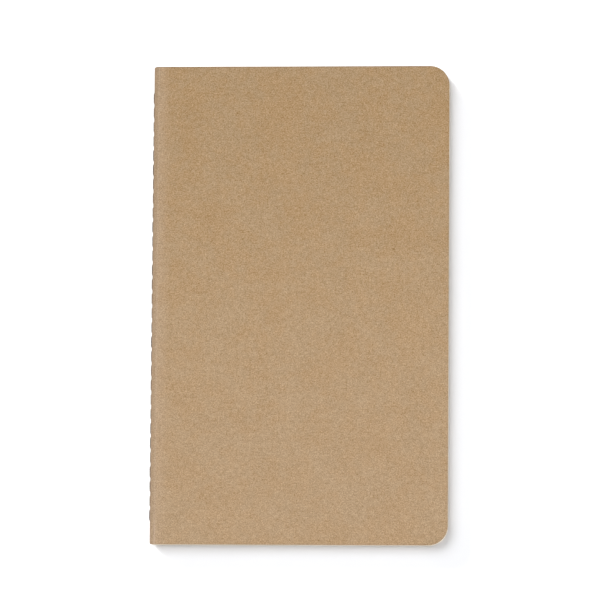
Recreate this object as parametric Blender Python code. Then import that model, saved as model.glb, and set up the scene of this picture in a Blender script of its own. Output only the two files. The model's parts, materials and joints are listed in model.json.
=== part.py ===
"""Stitched kraft notebook, 130 x 210 mm, closed and lying on its back cover.

One card cover is folded round 16 nested paper sheets, and a thread sewn through the
fold holds them. +X points to the fore-edge, +Y to the head, +Z up out of the front
cover. Every fold is an arc round one axis, the fold axis, which is also the axis
the cover and the leaves turn on. Metres.
"""

import math

import bpy

MM = 0.001

# ---------------------------------------------------------------- driving dimensions
NAME = "stitched_notebook"
LENGTH = 210.0 * MM            # head to tail
WIDTH = 130.0 * MM             # spine to fore-edge, without the thread
CORNER_RADIUS = 8.5 * MM       # the two fore-edge corners
CORNER_STEPS = 8

SHEETS = 16                    # folded sheets: 32 leaves, 64 pages
PAPER = 0.11 * MM
PAPER_GAP = 0.015 * MM         # air between neighbouring leaves
CENTRE_GAP = 0.36 * MM         # the middle opening, held apart by the inner thread
CARD = 0.35 * MM               # the cover's thickness
CARD_GAP = 0.02 * MM

HINGE_CLEAR = 0.20 * MM        # from the fold axis to the straight edge of each leaf
JOIN_GAP = 0.01 * MM           # between a leaf and its fold
FOLD_STEPS = 9                 # odd, so that a flat lies under the stitches

STITCHES = 30
FIRST_HOLE = 10.6 * MM         # from the head
LAST_HOLE = 9.6 * MM           # from the tail
HOLE_Y = 0.66 * MM
HOLE_Z = 0.32 * MM

THREAD_OUT = 0.21 * MM         # thread radius where it lies on the spine
THREAD_IN = 0.13 * MM          # thread radius where it is drawn through the folds
STRAND_OFFSET = 0.155 * MM     # half the distance between the two strands in a hole
INNER_THREAD = 0.14 * MM
THREAD_SIDES = 6

# ---------------------------------------------------------------- worked-out sizes
HALF = CENTRE_GAP / 2 + SHEETS * (PAPER + PAPER_GAP) - PAPER_GAP + CARD_GAP + CARD
THICK = 2 * HALF
SPINE_FLAT = HALF * math.cos(math.pi / FOLD_STEPS / 2)
THREAD_LIFT = THREAD_OUT + 0.02 * MM
THREAD_REACH = THREAD_OUT * math.cos(math.pi / THREAD_SIDES)
BULGE = THREAD_LIFT + THREAD_REACH + SPINE_FLAT - HALF
FORE_X = (WIDTH + BULGE) / 2
SPINE_X = FORE_X - WIDTH
AXIS_X = SPINE_X + HALF
AXIS_Z = HALF
FACE_X = AXIS_X - SPINE_FLAT
FIRST_Y = LENGTH / 2 - FIRST_HOLE
PITCH = (LENGTH - FIRST_HOLE - LAST_HOLE) / STITCHES

KRAFT = (0.48, 0.32, 0.17, 1.0)
IVORY = (0.80, 0.75, 0.62, 1.0)
THREAD = (0.17, 0.11, 0.07, 1.0)


def clear_scene():
    for ob in list(bpy.data.objects):
        bpy.data.objects.remove(ob, do_unlink=True)
    for group in list(bpy.data.collections):
        bpy.data.collections.remove(group)


def material(name, colour, rough):
    mat = bpy.data.materials.new(name)
    mat.use_nodes = True
    shader = mat.node_tree.nodes["Principled BSDF"]
    shader.inputs["Base Color"].default_value = colour
    shader.inputs["Roughness"].default_value = rough
    mat.diffuse_color = colour
    return mat


def make(name, verts, faces, mat, group, origin):
    """A mesh object whose origin is the given point and whose vertices are in the row's frame."""
    mesh = bpy.data.meshes.new(name)
    local = [(x - origin[0], y - origin[1], z - origin[2]) for x, y, z in verts]
    mesh.from_pydata(local, [], faces)
    mesh.validate()
    mesh.update()
    mesh.materials.append(mat)
    ob = bpy.data.objects.new(name, mesh)
    ob.location = origin
    group.objects.link(ob)
    return ob


def prism(outline, low, high, axis):
    """Closed prism on an anticlockwise outline. axis 'z' takes (x, y) pairs, 'y' takes (z, x) pairs."""
    count = len(outline)
    verts = []
    for level in (low, high):
        for a, b in outline:
            verts.append((a, b, level) if axis == "z" else (b, level, a))
    faces = [tuple(range(count))[::-1], tuple(range(count, 2 * count))]
    for i in range(count):
        j = (i + 1) % count
        faces.append((i, j, count + j, count + i))
    return verts, faces


def leaf_outline(near_x):
    """Rectangle from near_x to the fore-edge with the two fore-edge corners rounded."""
    low, high = -LENGTH / 2, LENGTH / 2
    points = [(near_x, low)]
    for cy, start in ((low + CORNER_RADIUS, -90.0), (high - CORNER_RADIUS, 0.0)):
        for i in range(CORNER_STEPS + 1):
            turn = math.radians(start + 90.0 * i / CORNER_STEPS)
            x = FORE_X - CORNER_RADIUS + CORNER_RADIUS * math.cos(turn)
            points.append((x, cy + CORNER_RADIUS * math.sin(turn)))
    points.append((near_x, high))
    return points


def plate(name, low, high, mat, group, origin):
    verts, faces = prism(leaf_outline(AXIS_X + HINGE_CLEAR), low, high, "z")
    return make(name, verts, faces, mat, group, origin)


def fold_outline(inner, outer):
    """Half ring round the fold axis with short straight ends, as (z, x) pairs."""
    end = AXIS_X + HINGE_CLEAR - JOIN_GAP
    rings = []
    for radius in (outer, inner):
        ring = [(AXIS_Z + radius, end)]
        for i in range(FOLD_STEPS + 1):
            turn = math.radians(90.0 + 180.0 * i / FOLD_STEPS)
            ring.append((AXIS_Z + radius * math.sin(turn), AXIS_X + radius * math.cos(turn)))
        ring.append((AXIS_Z - radius, end))
        rings.append(ring)
    return rings[0][::-1] + rings[1]


def fold(name, inner, outer, mat, group, origin, cutter):
    """The bent strip that joins a front half to its back half, pierced for the thread."""
    verts, faces = prism(fold_outline(inner, outer), -LENGTH / 2, LENGTH / 2, "y")
    ob = make(name, verts, faces, mat, group, origin)
    holes = ob.modifiers.new("thread_holes", "BOOLEAN")
    holes.operation = "DIFFERENCE"
    holes.solver = "EXACT"
    holes.object = cutter
    return ob


def hole_cutters(mat, group):
    """One mesh of small boxes, one at each hole, that reach from outside the spine to the fold axis."""
    verts = []
    faces = []
    for i in range(STITCHES + 1):
        y = FIRST_Y - i * PITCH
        base = len(verts)
        for x in (SPINE_X - 1.0 * MM, AXIS_X):
            for dy, dz in ((-1, -1), (1, -1), (1, 1), (-1, 1)):
                verts.append((x, y + dy * HOLE_Y / 2, AXIS_Z + dz * HOLE_Z / 2))
        sides = [(0, 3, 2, 1), (4, 5, 6, 7), (0, 1, 5, 4), (1, 2, 6, 5), (2, 3, 7, 6), (3, 0, 4, 7)]
        for side in sides:
            faces.append(tuple(base + n for n in side))
    ob = make("thread_hole_boxes", verts, faces, mat, group, (0.0, 0.0, 0.0))
    ob.hide_render = True
    ob.display_type = "WIRE"
    return ob


def tube(path):
    """Closed tube along (x, y, radius) points in the plane z = AXIS_Z, mitred at each bend."""
    verts = []
    faces = []
    last = len(path) - 1
    for i, (x, y, radius) in enumerate(path):
        ax, ay = path[max(i - 1, 0)][:2]
        bx, by = path[min(i + 1, last)][:2]
        before = math.atan2(y - ay, x - ax) if i > 0 else math.atan2(by - y, bx - x)
        after = math.atan2(by - y, bx - x) if i < last else before
        bend = (after - before + math.pi) % (2 * math.pi) - math.pi
        mid = before + bend / 2
        stretch = 1.0 / math.cos(bend / 2)
        nx, ny = -math.sin(mid) * stretch, math.cos(mid) * stretch
        for k in range(THREAD_SIDES):
            turn = 2 * math.pi * (k + 0.5) / THREAD_SIDES
            side = radius * math.cos(turn)
            verts.append((x + nx * side, y + ny * side, AXIS_Z + radius * math.sin(turn)))
    for i in range(last):
        for k in range(THREAD_SIDES):
            m = (k + 1) % THREAD_SIDES
            a, b = i * THREAD_SIDES, (i + 1) * THREAD_SIDES
            faces.append((a + k, a + m, b + m, b + k))
    faces.append(tuple(range(THREAD_SIDES))[::-1])
    faces.append(tuple(range(last * THREAD_SIDES, (last + 1) * THREAD_SIDES)))
    return verts, faces


def needle_path():
    """Down the spine outside, into each hole to the fold axis, round a small loop and out again."""
    loop_x = AXIS_X - 0.10 * MM
    out_x = FACE_X - THREAD_LIFT
    path = [(AXIS_X - 0.30 * MM, FIRST_Y - STRAND_OFFSET, THREAD_IN)]
    for i in range(STITCHES):
        a = FIRST_Y - i * PITCH
        b = a - PITCH
        path.append((FACE_X + 0.12 * MM, a - STRAND_OFFSET, THREAD_IN))
        path.append((FACE_X - 0.08 * MM, a - 0.17 * MM, 0.14 * MM))
        path.append((FACE_X - 0.19 * MM, a - 0.29 * MM, 0.165 * MM))
        path.append((out_x, a - 0.55 * MM, THREAD_OUT))
        path.append((out_x, b + 0.55 * MM, THREAD_OUT))
        path.append((FACE_X - 0.19 * MM, b + 0.29 * MM, 0.165 * MM))
        path.append((FACE_X - 0.08 * MM, b + 0.17 * MM, 0.14 * MM))
        path.append((FACE_X + 0.12 * MM, b + STRAND_OFFSET, THREAD_IN))
        if i < STITCHES - 1:
            for turn in (90.0, 30.0, -30.0, -90.0):
                rad = math.radians(turn)
                x = loop_x + STRAND_OFFSET * math.cos(rad)
                path.append((x, b + STRAND_OFFSET * math.sin(rad), THREAD_IN))
    path.append((AXIS_X - 0.30 * MM, FIRST_Y - STITCHES * PITCH + STRAND_OFFSET, THREAD_IN))
    return path


def bobbin_path():
    """Along the middle opening, just inside the loops, easing towards the fold between them."""
    near = AXIS_X + 0.36 * MM
    path = [(near, FIRST_Y + 1.2 * MM, INNER_THREAD)]
    for i in range(STITCHES + 1):
        y = FIRST_Y - i * PITCH
        path.append((near, y + 0.5 * MM, INNER_THREAD))
        path.append((near, y - 0.5 * MM, INNER_THREAD))
        if i < STITCHES:
            path.append((AXIS_X + 0.28 * MM, y - PITCH / 2, INNER_THREAD))
    path.append((near, FIRST_Y - STITCHES * PITCH - 1.2 * MM, INNER_THREAD))
    return path


def build():
    clear_scene()
    parts = bpy.data.collections.new(NAME)
    cutters = bpy.data.collections.new(NAME + "_cutters")
    bpy.context.scene.collection.children.link(parts)
    bpy.context.scene.collection.children.link(cutters)

    card = material("kraft_card", KRAFT, 0.85)
    paper = material("ivory_paper", IVORY, 0.80)
    thread = material("sewing_thread", THREAD, 0.70)
    tool = material("cutter", (0.8, 0.2, 0.2, 1.0), 0.5)
    axis = (AXIS_X, 0.0, AXIS_Z)
    boxes = hole_cutters(tool, cutters)

    plate("back_cover", 0.0, CARD, card, parts, (0.0, 0.0, 0.0))
    plate("front_cover", THICK - CARD, THICK, card, parts, axis)
    fold("cover_spine", HALF - CARD, HALF, card, parts, axis, boxes)

    inner = HALF - CARD - CARD_GAP - PAPER
    for i in range(SHEETS):
        tag = "sheet_%02d_" % (i + 1)
        plate(tag + "front_leaf", AXIS_Z + inner, AXIS_Z + inner + PAPER, paper, parts, axis)
        plate(tag + "back_leaf", AXIS_Z - inner - PAPER, AXIS_Z - inner, paper, parts, axis)
        fold(tag + "fold", inner, inner + PAPER, paper, parts, axis, boxes)
        inner -= PAPER + PAPER_GAP

    for name, path in (("outer_thread", needle_path()), ("inner_thread", bobbin_path())):
        verts, faces = tube(path)
        make(name, verts, faces, thread, parts, axis)


build()
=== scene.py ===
import json
import math
import random

import bpy
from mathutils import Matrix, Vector


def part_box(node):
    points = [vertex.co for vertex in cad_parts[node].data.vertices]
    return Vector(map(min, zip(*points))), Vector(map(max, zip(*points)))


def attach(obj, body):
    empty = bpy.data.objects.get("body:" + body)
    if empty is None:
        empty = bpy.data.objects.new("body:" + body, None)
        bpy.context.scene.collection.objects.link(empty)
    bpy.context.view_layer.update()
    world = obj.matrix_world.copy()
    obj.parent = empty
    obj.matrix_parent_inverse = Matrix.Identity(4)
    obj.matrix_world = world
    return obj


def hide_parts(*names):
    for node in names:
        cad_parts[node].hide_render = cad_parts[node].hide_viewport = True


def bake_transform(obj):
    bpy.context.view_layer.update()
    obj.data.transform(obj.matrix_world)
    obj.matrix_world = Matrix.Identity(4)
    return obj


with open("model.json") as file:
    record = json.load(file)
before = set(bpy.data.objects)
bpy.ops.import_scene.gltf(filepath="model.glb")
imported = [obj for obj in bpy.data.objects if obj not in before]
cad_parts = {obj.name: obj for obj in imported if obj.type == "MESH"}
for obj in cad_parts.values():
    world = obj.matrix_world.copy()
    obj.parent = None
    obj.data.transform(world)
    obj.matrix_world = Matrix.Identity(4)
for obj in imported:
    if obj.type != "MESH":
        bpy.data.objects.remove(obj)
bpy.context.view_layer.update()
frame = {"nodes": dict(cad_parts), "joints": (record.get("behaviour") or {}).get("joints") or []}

MM = 0.001

# ---------------------------------------------------------------- sizes, from the frame
axis = frame["joints"][0]["pos_m"]
AXIS_X, AXIS_Z = axis[0], axis[2]
cover_low, cover_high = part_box("front_cover")
LENGTH = cover_high.y - cover_low.y
FORE_X = cover_high.x
THICK = cover_high.z
CARD = cover_high.z - cover_low.z
HALF = THICK / 2
SPINE_X = AXIS_X - HALF
SHEETS = sum(1 for name in frame["nodes"] if name.endswith("_fold"))
CORNER = 8.5 * MM
CARD_REACH = (HALF - CARD / 2) * math.pi / 2 + FORE_X - AXIS_X     # fold's middle to fore edge

STITCHES = 30
FIRST_Y = LENGTH / 2 - 10.6 * MM         # the first and the last needle hole
LAST_Y = -LENGTH / 2 + 9.6 * MM
PITCH = (FIRST_Y - LAST_Y) / STITCHES
HOLE_Y = 0.66 * MM
HOLE_HALF_Z = 0.19 * MM
STRAND = 0.155 * MM            # half the distance between the two strands in a hole
LAY = 1.5 * MM                 # length of one full twist of the thread

SQUEEZE = 0.06                 # how much thinner the book is at the fold than further in
SQUEEZE_REACH = 3.0 * MM
PINCH = 0.085                  # how far the thread pulls the fold in, as a share of its radius
PINCH_ANGLE = 0.16             # half of the groove's width, as an angle about the fold's axis
NIP = 0.5 * MM                 # how far the fold's ends are worn back at head and tail
SETTLE = 0.28 * MM             # how far the upper half sinks into the middle opening
CREASE = 3.5 * MM              # from the fold's middle to the pale line along its shoulder
CARD_BEVEL = 0.05 * MM

# how far the cover and the pages stand past the cover's size, at fore edge, head and tail,
# and how much further the lowest page stands than the top one
WORN = (-0.02 * MM, 0.01 * MM, 0.0)
PROUD = (0.03 * MM, -0.05 * MM, 0.05 * MM)
CREEP = (0.06 * MM, 0.0, 0.06 * MM)

# where the flat part's lines of points lie, in mm from the end of the fold
CARD_FLATS = (0.4, 0.8, 1.2, 1.7, 2.5, 3.5, 5, 7, 10, 14, 20, 28, 38, 50, 64, 80, 96, 110)
LEAF_FLATS = (0.5, 1.2, 2, 3, 4, 5, 6, 7, 8, 9, 10, 11, 12, 14, 20, 32, 48, 64, 90)


# ---------------------------------------------------------------- small node helpers
class Tree:
    """A few shortcuts for building one material's nodes."""

    def __init__(self, name):
        self.mat = bpy.data.materials.new(name)
        self.mat.use_nodes = True
        self.nodes = self.mat.node_tree.nodes
        self.links = self.mat.node_tree.links
        self.shader = self.nodes["Principled BSDF"]

    def add(self, kind, **settings):
        node = self.nodes.new(kind)
        for key, value in settings.items():
            setattr(node, key, value)
        return node

    def put(self, source, socket):
        if isinstance(source, (int, float, tuple)):
            socket.default_value = source
        else:
            self.links.new(source, socket)

    def math(self, operation, a, b=0.0, c=0.0, clamp=False):
        node = self.add("ShaderNodeMath", operation=operation, use_clamp=clamp)
        for value, socket in zip((a, b, c), node.inputs):
            self.put(value, socket)
        return node.outputs[0]

    def vector(self, operation, a, b=(0.0, 0.0, 0.0)):
        node = self.add("ShaderNodeVectorMath", operation=operation)
        self.put(a, node.inputs[0])
        self.put(b, node.inputs[1])
        return node.outputs[0]

    def noise(self, at, scale, detail=2.0, rough=0.5):
        node = self.add("ShaderNodeTexNoise")
        self.put(at, node.inputs["Vector"])
        node.inputs["Scale"].default_value = scale
        node.inputs["Detail"].default_value = detail
        node.inputs["Roughness"].default_value = rough
        return node.outputs["Fac"]

    def ramp(self, value, low, high, to_low=0.0, to_high=1.0):
        node = self.add("ShaderNodeMapRange", interpolation_type="SMOOTHSTEP")
        for given, key in (
            (value, "Value"),
            (low, "From Min"),
            (high, "From Max"),
            (to_low, "To Min"),
            (to_high, "To Max"),
        ):
            self.put(given, node.inputs[key])
        return node.outputs["Result"]

    def mix(self, factor, a, b, blend="MIX"):
        node = self.add("ShaderNodeMix", data_type="RGBA", blend_type=blend)
        self.put(factor, node.inputs[0])
        self.put(a, node.inputs[6])
        self.put(b, node.inputs[7])
        return node.outputs[2]

    def position(self):
        """The sheet's own flat coordinates: across from the fold's middle, with a minus on the
        back half, along the spine, and depth."""
        node = self.add("ShaderNodeAttribute", attribute_name="sheet_at")
        return node.outputs["Vector"]

    def parts(self, at):
        node = self.add("ShaderNodeSeparateXYZ")
        self.put(at, node.inputs[0])
        return node.outputs

    def bump(self, height, distance, strength=1.0):
        node = self.add("ShaderNodeBump")
        self.put(height, node.inputs["Height"])
        node.inputs["Distance"].default_value = distance
        node.inputs["Strength"].default_value = strength
        self.links.new(node.outputs[0], self.shader.inputs["Normal"])

    def streaks(self, at, turn, length, width, low, high):
        """Short thin fibres that lie at one angle."""
        node = self.add("ShaderNodeMapping")
        self.put(at, node.inputs["Vector"])
        node.inputs["Rotation"].default_value = (0.0, 0.0, math.radians(turn))
        stretched = self.vector("MULTIPLY", node.outputs[0], (1 / length, 1 / width, 1 / length))
        return self.ramp(self.noise(stretched, 1.0, 1.0), low, high)


# ---------------------------------------------------------------- materials
KRAFT_WARM = (0.425, 0.270, 0.131, 1.0)
KRAFT_PALE = (0.419, 0.281, 0.150, 1.0)
KRAFT_FIBRE = (0.420, 0.335, 0.262)
# a pale grey-brown that stands for rubbed wear and for painted sheen
KRAFT_SHEEN_AND_WEAR = (0.520, 0.372, 0.252, 1.0)
IVORY = (0.88, 0.83, 0.74, 1.0)
IVORY_WARM = (0.86, 0.80, 0.70, 1.0)
THREAD_DARK = (0.085, 0.060, 0.044, 1.0)
THREAD_LIGHT = (0.135, 0.098, 0.073, 1.0)
THREAD_FUZZ = (0.240, 0.184, 0.140, 1.0)
FLECK = (107.0 * MM, 24.3 * MM)          # from the fold's middle, and towards the head
FLECK_SIZE = (0.9 * MM, 0.45 * MM)


def kraft_card():
    tree = Tree("kraft_card")
    at = tree.position()
    signed, along = tree.parts(at)[:2]
    across = tree.math("ABSOLUTE", signed)
    wander = tree.add("ShaderNodeTexNoise")
    tree.put(at, wander.inputs["Vector"])
    wander.inputs["Scale"].default_value = 260.0
    drift = tree.vector("SUBTRACT", wander.outputs["Color"], (0.5, 0.5, 0.5))
    drift = tree.vector("MULTIPLY", drift, (1.6 * MM, 1.6 * MM, 0.0))
    curly = tree.vector("ADD", at, drift)

    specks = tree.noise(at, 2700.0, 1.0)
    grain = tree.noise(at, 1400.0, 2.0, 0.6)
    clumps = tree.noise(at, 480.0, 2.0, 0.6)
    clouds = tree.noise(at, 90.0, 2.0, 0.5)
    light = tree.streaks(curly, 18.0, 2.4 * MM, 0.22 * MM, 0.58, 0.72)
    light = tree.math("MAXIMUM", light, tree.streaks(curly, 78.0, 2.0 * MM, 0.22 * MM, 0.58, 0.72))
    light = tree.math("MAXIMUM", light, tree.streaks(curly, -47.0, 2.2 * MM, 0.20 * MM, 0.58, 0.72))
    dark = tree.streaks(curly, 112.0, 1.7 * MM, 0.24 * MM, 0.60, 0.74)
    dark = tree.math("MAXIMUM", dark, tree.streaks(curly, -15.0, 1.9 * MM, 0.24 * MM, 0.60, 0.74))
    dark = tree.math("MAXIMUM", dark, tree.streaks(curly, 48.0, 1.5 * MM, 0.22 * MM, 0.60, 0.74))

    speckle = 0.0
    for layer, strength in ((specks, 1.15), (grain, 0.90), (clumps, 0.34), (clouds, 0.13)):
        speckle = tree.math("MULTIPLY_ADD", tree.math("SUBTRACT", layer, 0.5), strength, speckle)
    speckle = tree.math("MULTIPLY_ADD", light, 0.15, speckle)
    speckle = tree.math("MULTIPLY_ADD", dark, -0.16, speckle)

    hue = tree.math("ADD", tree.noise(at, 210.0, 3.0, 0.6), tree.noise(at, 42.0, 2.0, 0.6))
    hue = tree.ramp(hue, 0.78, 1.22)
    colour = tree.mix(hue, KRAFT_WARM, KRAFT_PALE)
    # painted sheen and painted shade: the card grows paler and greyer towards the tail and a little
    # darker towards the head, as the light falls across it
    painted_sheen_to_tail = tree.ramp(along, LENGTH / 2, -LENGTH / 2, 0.0, 0.25)
    colour = tree.mix(painted_sheen_to_tail, colour, KRAFT_SHEEN_AND_WEAR)
    tone = tree.ramp(along, LENGTH / 2, -0.1 * LENGTH, 0.955, 1.0)

    # painted sheen: the fold's shoulder is paler as if it caught the light, with rubbed wear mixed
    # in, most of all along one worn line that is clearest at the tail
    shoulder_sheen_and_wear = tree.ramp(across, 0.4 * MM, 3.2 * MM, 0.3, 1.0)
    sheen_and_wear_falloff = tree.ramp(across, 4.0 * MM, 10.0 * MM, 1.0, 0.0)
    scuffs = tree.streaks(at, 90.0, 9.0 * MM, 0.5 * MM, 0.35, 0.75)
    sheen_and_wear = tree.math("MULTIPLY", shoulder_sheen_and_wear, sheen_and_wear_falloff)
    sheen_and_wear = tree.math("MULTIPLY", sheen_and_wear, tree.math("MULTIPLY_ADD", scuffs, 0.35, 0.75))
    colour = tree.mix(tree.math("MULTIPLY", sheen_and_wear, 0.36), colour, KRAFT_SHEEN_AND_WEAR)
    crease = tree.math("ABSOLUTE", tree.math("SUBTRACT", across, CREASE))
    crease = tree.ramp(crease, 0.1 * MM, 0.65 * MM, 1.0, 0.0)
    near_tail = tree.ramp(along, -LENGTH / 2 + 10 * MM, -LENGTH / 2 + 7 * MM, 0.42, 1.0)
    crease = tree.math("MULTIPLY", crease, near_tail)
    colour = tree.mix(crease, colour, KRAFT_SHEEN_AND_WEAR)

    # painted sheen and painted shade: the fold itself is greyer as if it caught a sheen and darker
    # where it turns away from the light, and the groove that the thread has pressed is darker still
    # with painted shade
    painted_fold_sheen = tree.ramp(across, 1.0 * MM, 3.6 * MM, 0.34, 0.0)
    colour = tree.mix(painted_fold_sheen, colour, KRAFT_SHEEN_AND_WEAR)
    tone = tree.math("MULTIPLY", tone, tree.ramp(across, 0.3 * MM, 4.3 * MM, 0.64, 1.0))
    tone = tree.math("MULTIPLY", tone, tree.ramp(across, 0.20 * MM, 0.75 * MM, 0.86, 1.0))

    # a thin line along the card's edges is greyer and darker too, darkest at the head, and the cut
    # edge more so
    over_x = tree.math("SUBTRACT", across, CARD_REACH - CORNER)
    over_y = tree.math("SUBTRACT", tree.math("ABSOLUTE", along), LENGTH / 2 - CORNER)
    past = tree.add("ShaderNodeCombineXYZ")
    tree.put(tree.math("MAXIMUM", over_x, 0.0), past.inputs[0])
    tree.put(tree.math("MAXIMUM", over_y, 0.0), past.inputs[1])
    span = tree.add("ShaderNodeVectorMath", operation="LENGTH")
    tree.put(past.outputs[0], span.inputs[0])
    inside = tree.math("MINIMUM", tree.math("MAXIMUM", over_x, over_y), 0.0)
    border = tree.math("ADD", span.outputs["Value"], inside)
    border = tree.ramp(border, CORNER - 0.75 * MM, CORNER - 0.20 * MM)
    colour = tree.mix(tree.math("MULTIPLY", border, 0.16), colour, KRAFT_SHEEN_AND_WEAR)
    tone = tree.math("MULTIPLY", tone, tree.math("MULTIPLY_ADD", border, -0.09, 1.0))
    head_line = tree.ramp(along, LENGTH / 2 - 0.6 * MM, LENGTH / 2, 1.0, 0.78)
    tone = tree.math("MULTIPLY", tone, head_line)
    cut = tree.add("ShaderNodeAttribute", attribute_name="cut_edge").outputs["Fac"]
    tone = tree.math("MULTIPLY", tone, tree.math("MULTIPLY_ADD", cut, -0.14, 1.0))

    # one dark fleck of bark, and fine ones scattered over the sheet
    cells = tree.add("ShaderNodeTexVoronoi", feature="F1")
    tree.put(curly, cells.inputs["Vector"])
    cells.inputs["Scale"].default_value = 210.0
    chance = tree.parts(cells.outputs["Color"])[0]
    size = tree.ramp(chance, 0.80, 1.0, 0.0, 0.075)
    fleck = tree.math("LESS_THAN", cells.outputs["Distance"], size)
    speckle = tree.math("MULTIPLY_ADD", fleck, -0.20, speckle)
    near = tree.vector("SUBTRACT", curly, (FLECK[0], FLECK[1], 0.0))
    near = tree.vector("MULTIPLY", near, (1 / FLECK_SIZE[0], 1 / FLECK_SIZE[1], 0.0))
    spot = tree.add("ShaderNodeVectorMath", operation="LENGTH")
    tree.put(near, spot.inputs[0])
    bark = tree.ramp(spot.outputs["Value"], 0.4, 1.0, 1.0, 0.0)
    speckle = tree.math("MULTIPLY_ADD", bark, -0.36, speckle)

    # fibres add grey to the brown, and what shades it scales all of it
    fibres = tree.vector("MULTIPLY", KRAFT_FIBRE, speckle)
    colour = tree.vector("MULTIPLY", tree.vector("ADD", colour, fibres), tone)
    tree.put(colour, tree.shader.inputs["Base Color"])

    rough = tree.ramp(grain, 0.3, 0.7, 0.72, 0.88)
    tree.put(tree.math("MULTIPLY_ADD", sheen_and_wear, -0.14, rough), tree.shader.inputs["Roughness"])
    tree.shader.inputs["Specular IOR Level"].default_value = 0.30
    height = tree.math("MULTIPLY_ADD", light, 0.5, tree.math("MULTIPLY_ADD", grain, 0.8, clumps))
    tree.bump(tree.math("MULTIPLY_ADD", dark, -0.35, height), 0.045 * MM, 0.55)
    return tree.mat


def ivory_paper():
    tree = Tree("ivory_paper")
    at = tree.position()
    across = tree.math("ABSOLUTE", tree.parts(at)[0])
    grain = tree.noise(at, 2600.0, 2.0, 0.6)
    clumps = tree.noise(at, 420.0, 3.0, 0.55)
    fibre = tree.streaks(at, 35.0, 1.4 * MM, 0.10 * MM, 0.62, 0.76)
    fibre = tree.math("MAXIMUM", fibre, tree.streaks(at, -60.0, 1.2 * MM, 0.10 * MM, 0.62, 0.76))
    tone = tree.math("MULTIPLY_ADD", tree.math("SUBTRACT", grain, 0.5), 0.05, 1.0)
    tone = tree.math("MULTIPLY_ADD", tree.math("SUBTRACT", clumps, 0.5), 0.05, tone)
    tone = tree.math("MULTIPLY_ADD", fibre, -0.02, tone)
    cut = tree.add("ShaderNodeAttribute", attribute_name="cut_edge").outputs["Fac"]
    tone = tree.math("MULTIPLY", tone, tree.math("MULTIPLY_ADD", cut, -0.01, 1.0))
    # the crease at the fold holds a little shade
    tone = tree.math("MULTIPLY", tone, tree.ramp(across, 0.1 * MM, 1.4 * MM, 0.93, 1.0))
    shade = tree.add("ShaderNodeCombineColor")
    for socket in shade.inputs[:3]:
        tree.put(tone, socket)
    colour = tree.mix(tree.ramp(clumps, 0.3, 0.7), IVORY_WARM, IVORY)
    tree.put(tree.mix(1.0, colour, shade.outputs[0], "MULTIPLY"), tree.shader.inputs["Base Color"])
    tree.put(tree.ramp(grain, 0.3, 0.7, 0.80, 0.92), tree.shader.inputs["Roughness"])
    tree.shader.inputs["Specular IOR Level"].default_value = 0.25
    tree.bump(tree.math("MULTIPLY_ADD", clumps, 0.6, grain), 0.012 * MM, 0.5)
    return tree.mat


def sewing_thread():
    tree = Tree("sewing_thread")
    at = tree.add("ShaderNodeTexCoord").outputs["Object"]
    fuzz = tree.noise(at, 9000.0, 2.0, 0.6)
    patches = tree.noise(at, 900.0, 2.0, 0.5)
    colour = tree.mix(tree.ramp(patches, 0.3, 0.7), THREAD_DARK, THREAD_LIGHT)
    colour = tree.mix(tree.ramp(fuzz, 0.55, 0.75, 0.0, 0.35), colour, THREAD_FUZZ)
    tree.put(colour, tree.shader.inputs["Base Color"])
    tree.put(tree.ramp(fuzz, 0.3, 0.7, 0.55, 0.80), tree.shader.inputs["Roughness"])
    tree.shader.inputs["Specular IOR Level"].default_value = 0.35
    tree.shader.inputs["Sheen Weight"].default_value = 0.25
    tree.shader.inputs["Sheen Roughness"].default_value = 0.5
    tree.bump(fuzz, 0.02 * MM, 0.6)
    return tree.mat


def pale_floor():
    tree = Tree("pale_floor")
    tree.shader.inputs["Base Color"].default_value = (0.90, 0.90, 0.91, 1.0)
    tree.shader.inputs["Roughness"].default_value = 1.0
    tree.shader.inputs["Specular IOR Level"].default_value = 0.0
    return tree.mat


# ---------------------------------------------------------------- sheets
def smooth(t):
    t = min(1.0, max(0.0, t))
    return t * t * (3 - 2 * t)


def pinch(angle):
    """The groove that the thread presses into the fold, as a factor on every radius."""
    return 1 - PINCH * math.exp(-((angle / PINCH_ANGLE) ** 2))


def hole_ends():
    """The y of both ends of each needle hole, from head to tail."""
    centres = [FIRST_Y - i * PITCH for i in range(STITCHES + 1)]
    return [y + s * HOLE_Y / 2 for y in centres for s in (1, -1)]


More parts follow.
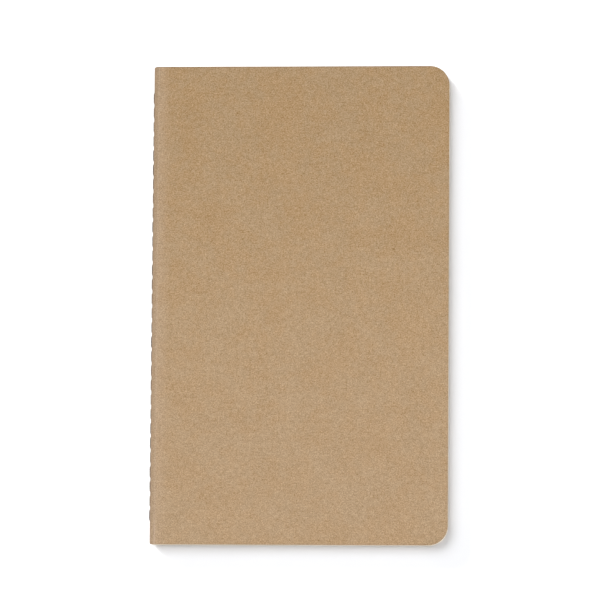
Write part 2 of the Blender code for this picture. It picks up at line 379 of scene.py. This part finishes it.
class Half:
    """Half of one folded sheet: a quarter turn of the fold and the flat leaf beyond it.

    A station says how far round the sheet a line of points is: a turn of the fold, a distance
    along the flat part, or a turn of the round corners."""

    def __init__(self, inner, outer, side, grow=(0.0, 0.0, 0.0), bevel=0.0):
        self.outer, self.side, self.bevel = outer, side, bevel
        self.thick = outer - inner
        self.mid = (inner + outer) / 2
        fore, head, tail = grow            # how far each edge stands past the cover's size
        self.reach = FORE_X + fore - CORNER - AXIS_X
        self.head, self.tail = LENGTH / 2 + head, -LENGTH / 2 - tail
        self.layers = [(0.0, 0.0), (self.thick, 0.0)]
        if bevel:
            self.layers = [
                (0.0, bevel), (bevel, 0.0), (self.thick - bevel, 0.0), (self.thick, bevel)
            ]

    def ends(self, station, inset):
        kind, value = station
        trim = inset
        if kind == "turn":
            trim += NIP * (self.mid / HALF) ** 2 * math.cos(value) ** 4
        if kind == "corner":
            trim = CORNER - (CORNER - inset) * math.cos(value)
        return self.head - trim, self.tail + trim

    def place(self, station, depth, inset):
        """x, z and the distance from the fold's middle along the sheet."""
        kind, value = station
        radius = self.outer - depth
        if kind == "turn":
            radius *= pinch(value)
            rise = radius * math.sin(value) * (1 - SQUEEZE * math.sin(value))
            return AXIS_X - radius * math.cos(value), AXIS_Z + self.side * rise, self.mid * value
        far = value
        if kind == "corner":
            far = self.reach + (CORNER - inset) * math.sin(value)
        rise = radius * (1 - SQUEEZE / (1 + (far / SQUEEZE_REACH) ** 2))
        if self.side > 0:
            rise -= SETTLE * smooth((far - 3 * MM) / (60 * MM))
        return AXIS_X + far, AXIS_Z + self.side * rise, self.mid * math.pi / 2 + far

    def build(self, name, turns, flats, corners, rows):
        slot = math.asin(min(0.95, HOLE_HALF_Z / self.mid))
        stations = [("turn", 0.0), ("turn", slot)]
        for i in range(turns):
            stations.append(("turn", slot + (math.pi / 2 - slot) * (i + 1) / turns))
        stations += [("flat", far) for far in flats]
        stations += [("corner", math.pi / 2 * i / corners) for i in range(corners + 1)]

        marks = []
        for n, station in enumerate(stations):
            head, tail = self.ends(station, 0.0)
            if n < 2:
                marks.append([head] + hole_ends() + [tail])
            else:
                marks.append([head + (tail - head) * k / rows for k in range(rows + 1)])

        verts, flat, index = [], [], {}

        def vertex(layer, n, k):
            if (layer, n, k) not in index:
                depth, inset = self.layers[layer]
                x, z, across = self.place(stations[n], depth, inset)
                y = marks[n][k]
                if k == 0:
                    y = self.ends(stations[n], inset)[0]
                if k == len(marks[n]) - 1:
                    y = self.ends(stations[n], inset)[1]
                index[layer, n, k] = len(verts)
                verts.append((x, y, z))
                flat.append((self.side * across, y, depth))
            return index[layer, n, k]

        skin = []
        for k in range(0, len(marks[0]), 2):
            skin.append(((0, k), (0, k + 1), (1, k + 1), (1, k)))
        wide = range(len(marks[1]))
        narrow = range(rows + 1)
        skin.append(tuple((1, k) for k in wide) + tuple((2, k) for k in reversed(narrow)))
        for n in range(2, len(stations) - 1):
            for k in range(rows):
                skin.append(((n, k), (n, k + 1), (n + 1, k + 1), (n + 1, k)))
        sides = {(a, b) for face in skin for a, b in zip(face, face[1:] + face[:1])}
        rim = sorted((a, b) for a, b in sides if (b, a) not in sides)

        last = len(self.layers) - 1
        faces = [tuple(vertex(0, *at) for at in face) for face in skin]
        faces += [tuple(vertex(last, *at) for at in reversed(face)) for face in skin]
        for layer in range(last):
            for a, b in rim:
                faces.append(
                    (
                        vertex(layer, *b),
                        vertex(layer, *a),
                        vertex(layer + 1, *a),
                        vertex(layer + 1, *b),
                    )
                )
        if self.side < 0:
            faces = [face[::-1] for face in faces]

        mesh = bpy.data.meshes.new(name)
        mesh.from_pydata(verts, [], faces)
        mesh.update()
        spot = mesh.attributes.new("sheet_at", "FLOAT_VECTOR", "POINT")
        for item, at in zip(spot.data, flat):
            item.vector = at
        edge = mesh.attributes.new("cut_edge", "FLOAT", "FACE")
        for n, item in enumerate(edge.data):
            item.value = 1.0 if n >= 2 * len(skin) else 0.0
        return finished(name, mesh)


def finished(name, mesh):
    for face in mesh.polygons:
        face.use_smooth = True
    mesh.set_sharp_from_angle(angle=math.radians(35))
    ob = bpy.data.objects.new(name, mesh)
    bpy.context.scene.collection.objects.link(ob)
    return ob


def bend(piece, side):
    """Bakes a half's placement into its mesh; it bends nothing."""
    if side > 0:
        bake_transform(piece)
    else:
        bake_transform(piece)


def covers(material):
    inner, outer = HALF - CARD, HALF
    for side, name, node in ((1, "cover_front", "front_cover"), (-1, "cover_back", "back_cover")):
        half = Half(inner, outer, side, WORN, CARD_BEVEL)
        ob = half.build(name, 14, [d * MM for d in CARD_FLATS], 14, 36)
        ob.data.materials.append(material)
        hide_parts(node, "cover_spine")
        bend(ob, side)


def leaves(material):
    rng = random.Random(16)
    for i in range(SHEETS):
        tag = "sheet_%02d_" % (i + 1)
        low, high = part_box(tag + "front_leaf")
        inner, outer = low.z - AXIS_Z, high.z - AXIS_Z
        for side, end in ((1, "front"), (-1, "back")):
            drop = 0.5 - side * (inner + outer) / 4 / HALF
            grow = [
                past + creep * drop + rng.uniform(-0.03, 0.02) * MM
                for past, creep in zip(PROUD, CREEP)
            ]
            half = Half(inner, outer, side, grow)
            flats = [d * MM for d in LEAF_FLATS]
            ob = half.build("page_%02d_%s" % (i + 1, end), 5, flats, 10, 1)
            ob.data.materials.append(material)
            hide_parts(tag + end + "_leaf", tag + "fold")
            bend(ob, side)


# ---------------------------------------------------------------- thread
def resample(path, step):
    """Catmull-Rom through (x, y, radius) points, with about one ring each step of the way."""
    rings = []
    for i in range(len(path) - 1):
        a, b, c, d = (path[max(i - 1, 0)], path[i], path[i + 1], path[min(i + 2, len(path) - 1)])
        count = max(1, round(math.dist(b[:2], c[:2]) / step))
        for k in range(count):
            t = k / count
            ring = []
            for p, q, r, s in zip(a, b, c, d):
                bow = (2 * p - 5 * q + 4 * r - s) * t * t + (3 * q - p - 3 * r + s) * t**3
                ring.append(0.5 * (2 * q + (r - p) * t + bow))
            rings.append(ring)
    rings.append(path[-1])
    return rings


def twisted(name, rings, lay, plies=3, sides=7):
    """Plies twisted round each other along a path in the plane through the fold's axis."""
    verts, faces = [], []
    travelled = [0.0]
    for a, b in zip(rings, rings[1:]):
        travelled.append(travelled[-1] + math.dist(a[:2], b[:2]))
    for ply in range(plies):
        base = len(verts)
        for i, (x, y, radius) in enumerate(rings):
            a, b = rings[max(i - 1, 0)], rings[min(i + 1, len(rings) - 1)]
            length = math.dist(a[:2], b[:2])
            nx, ny = -(b[1] - a[1]) / length, (b[0] - a[0]) / length
            turn = 2 * math.pi * (travelled[i] / lay + ply / plies)
            for k in range(sides):
                spin = turn + 2 * math.pi * k / sides
                out = radius * (0.54 * math.cos(turn) + 0.46 * math.cos(spin))
                up = radius * (0.54 * math.sin(turn) + 0.46 * math.sin(spin))
                verts.append((x + nx * out, y + ny * out, AXIS_Z + up))
        for i in range(len(rings) - 1):
            for k in range(sides):
                m = (k + 1) % sides
                a, b = base + i * sides, base + (i + 1) * sides
                faces.append((a + k, a + m, b + m, b + k))
        last = base + (len(rings) - 1) * sides
        faces.append(tuple(base + k for k in reversed(range(sides))))
        faces.append(tuple(last + k for k in range(sides)))
    mesh = bpy.data.meshes.new(name)
    mesh.from_pydata(verts, [], faces)
    mesh.update()
    return finished(name, mesh)


def outer_path():
    """Down through each hole, round the inner thread, out again and over to the next hole."""
    rng = random.Random(30)
    loop_x = AXIS_X - 0.10 * MM
    path = [(AXIS_X - 0.3 * MM, FIRST_Y - STRAND, 0.12 * MM)]
    for i in range(STITCHES):
        a = FIRST_Y - i * PITCH
        b = a - PITCH
        arch = (0.37 + rng.uniform(-0.06, 0.06)) * MM
        thick = rng.uniform(0.19, 0.21) * MM
        lip = SPINE_X + 0.10 * MM + thick          # the thread's middle where it meets the card
        over = []
        for along in (0.5, 0.8, 1.1, 1.5, 2.0, 2.5):
            rise = arch * (1 - math.exp(-((1.5 * (along - 0.3)) ** 2)))
            over.append((lip - rise, along * MM, thick))
        into = [
            (lip + 0.75 * MM, STRAND, 0.12 * MM),
            (lip + 0.30 * MM, STRAND, 0.12 * MM),
            (lip + 0.10 * MM, STRAND + 0.03 * MM, 0.13 * MM),
            (lip + 0.01 * MM, STRAND + 0.15 * MM, 0.16 * MM),
        ]
        for x, along, radius in into + over:
            path.append((x, a - along, radius))
        path.append((lip - arch, (a + b) / 2, thick))
        for x, along, radius in reversed(into + over):
            path.append((x, b + along, radius))
        if i < STITCHES - 1:
            for turn in (90.0, 30.0, -30.0, -90.0):
                rad = math.radians(turn)
                loop = (loop_x + STRAND * math.cos(rad), b + STRAND * math.sin(rad), 0.12 * MM)
                path.append(loop)
    path.append((AXIS_X - 0.3 * MM, LAST_Y + STRAND, 0.12 * MM))
    return path


def sway(ob):
    """Each stitch lies a little above or below the middle of the spine."""
    rng = random.Random(7)
    lean = [rng.uniform(-0.08, 0.10) for i in range(STITCHES)]
    lean[0], lean[1] = 0.17, 0.15
    for vert in ob.data.vertices:
        x, y, z = vert.co
        along = (FIRST_Y - y) / PITCH
        stitch = min(STITCHES - 1, max(0, int(along)))
        share = math.sin(math.pi * min(1.0, max(0.0, along - stitch))) ** 2
        out = AXIS_X - x
        if out > HALF / 2:
            turn = lean[stitch] * share
            height = z - AXIS_Z
            vert.co.x = AXIS_X - out * math.cos(turn) + height * math.sin(turn)
            vert.co.z = AXIS_Z + out * math.sin(turn) + height * math.cos(turn)


def inner_path():
    near, sag = AXIS_X + 0.37 * MM, AXIS_X + 0.28 * MM
    path = [(near, FIRST_Y + 1.2 * MM, 0.12 * MM)]
    for i in range(STITCHES + 1):
        y = FIRST_Y - i * PITCH
        path.append((near, y + 0.5 * MM, 0.13 * MM))
        path.append((near, y - 0.5 * MM, 0.13 * MM))
        if i < STITCHES:
            path.append((sag, y - 0.3 * PITCH, 0.14 * MM))
            path.append((sag, y - 0.7 * PITCH, 0.14 * MM))
    path.append((near, LAST_Y - 1.2 * MM, 0.12 * MM))
    return path


def threads(material):
    for name, path, step in (
        ("thread_outer", outer_path(), 0.22 * MM),
        ("thread_inner", inner_path(), 0.25 * MM),
    ):
        ob = twisted(name, resample(path, step), LAY)
        if name == "thread_outer":
            sway(ob)
        ob.data.materials.append(material)
        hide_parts(name.split("_")[1] + "_thread")
        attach(ob, "spine_body")


# ---------------------------------------------------------------- studio
# each light: strength, degrees across, degrees from straight above, compass degrees
KEY = (2.46, 46.0, 41.0, 135.0)
FILL = (2.6, 16.0, 82.0, -45.0)
WASH = (7.0, 20.0, 80.0, 135.0)
SKY_LOW = 0.95
SKY_HIGH = 0.37
SKY_TINT = (0.965, 0.985, 1.03, 1.0)
SKY_FADE = 0.2                 # how far above the horizon the sky has reached its high value
FLOOR_HALF = 3.0
FLOOR_Z = -0.02 * MM
LENS = 276.5
CAMERA_AT = (142.5 * MM, -211.1 * MM, 2000.0 * MM)
CAMERA_TURN = (6.108, 4.032, 0.425)      # degrees


def sun(name, settings):
    """A far softbox."""
    strength, spread, tilt, turn = settings
    lamp = bpy.data.lights.new(name, "SUN")
    lamp.energy = strength
    lamp.angle = math.radians(spread)
    ob = bpy.data.objects.new(name, lamp)
    ob.rotation_euler = (0.0, math.radians(tilt), math.radians(turn))
    ob.location = ob.rotation_euler.to_matrix() @ Vector((0.0, 0.0, 2.0))
    bpy.context.scene.collection.objects.link(ob)
    return ob


def studio():
    mesh = bpy.data.meshes.new("floor")
    signs = ((-1, -1), (1, -1), (1, 1), (-1, 1))
    corners = [(x * FLOOR_HALF, y * FLOOR_HALF, FLOOR_Z) for x, y in signs]
    mesh.from_pydata(corners, [], [(0, 1, 2, 3)])
    floor = bpy.data.objects.new("floor", mesh)
    bpy.context.scene.collection.objects.link(floor)
    floor.data.materials.append(pale_floor())

    sun("key", KEY)
    sun("fill", FILL)
    wash = sun("floor_wash", WASH)
    washed = bpy.data.collections.new("washed")
    washed.objects.link(floor)
    wash.light_linking.receiver_collection = washed

    world = bpy.data.worlds.new("studio")
    world.use_nodes = True
    nodes, links = world.node_tree.nodes, world.node_tree.links
    back = nodes["Background"]
    where = nodes.new("ShaderNodeTexCoord")
    split = nodes.new("ShaderNodeSeparateXYZ")
    level = nodes.new("ShaderNodeMapRange")
    level.inputs["From Min"].default_value = 0.0
    level.inputs["From Max"].default_value = SKY_FADE
    level.inputs["To Min"].default_value = SKY_LOW
    level.inputs["To Max"].default_value = SKY_HIGH
    links.new(where.outputs["Generated"], split.inputs[0])
    links.new(split.outputs[2], level.inputs["Value"])
    links.new(level.outputs["Result"], back.inputs["Strength"])
    back.inputs["Color"].default_value = SKY_TINT
    bpy.context.scene.world = world

    view = bpy.context.scene.view_settings
    view.view_transform = "Standard"
    view.look = "None"

    lens = bpy.data.cameras.new("camera")
    lens.lens = LENS
    lens.sensor_width = 36.0
    lens.clip_start = 0.01
    camera = bpy.data.objects.new("camera", lens)
    camera.location = CAMERA_AT
    camera.rotation_euler = tuple(math.radians(a) for a in CAMERA_TURN)
    bpy.context.scene.collection.objects.link(camera)
    bpy.context.scene.camera = camera


covers(kraft_card())
leaves(ivory_paper())
threads(sewing_thread())
studio()
